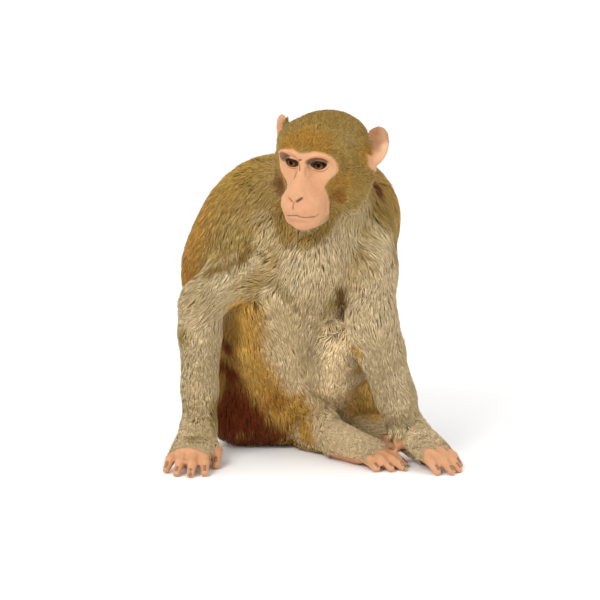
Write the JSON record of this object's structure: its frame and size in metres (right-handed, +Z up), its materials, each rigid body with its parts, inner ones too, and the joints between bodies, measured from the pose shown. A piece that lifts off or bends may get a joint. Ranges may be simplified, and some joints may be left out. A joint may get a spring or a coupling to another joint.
{
  "type": "rhesus macaque monkey, life-size still model",
  "caption": "Seated adult monkey leaning on its straight arms, head turned to one side, olive and golden coat, bare peach face, ears, fingers and soles, short tail on the floor.",
  "frame": {"origin": "on the floor, under the middle of the animal's box", "axes": "+Z up; -Y towards a viewer in front of the animal; +X to that viewer's right, which is the animal's left side"},
  "size_m": [0.3314, 0.3792, 0.4036],
  "materials": {
    "golden_coat": "short dense fur, olive to golden brown, matt",
    "pale_coat": "short fur, pale grey beige, matt",
    "bare_skin": "bare peach skin, finely creased, satin",
    "eye": "amber brown iris with black pupil, glossy"
  },
  "bodies": {
    "root": {"trunk": "golden_coat", "neck": "golden_coat", "head": "golden_coat", "eye_right": "eye", "eye_left": "eye", "ear_right": "bare_skin", "ear_left": "bare_skin", "upper_arm_right": "pale_coat", "upper_arm_left": "pale_coat", "forearm_right": "pale_coat", "forearm_left": "pale_coat", "thigh_right": "golden_coat", "thigh_left": "golden_coat", "shin_right": "pale_coat", "shin_left": "pale_coat", "foot_right": "bare_skin", "foot_left": "bare_skin", "hand_right": "bare_skin", "hand_left": "bare_skin", "tail_base": "golden_coat", "tail_tip": "golden_coat"}
  },
  "joints": []
}
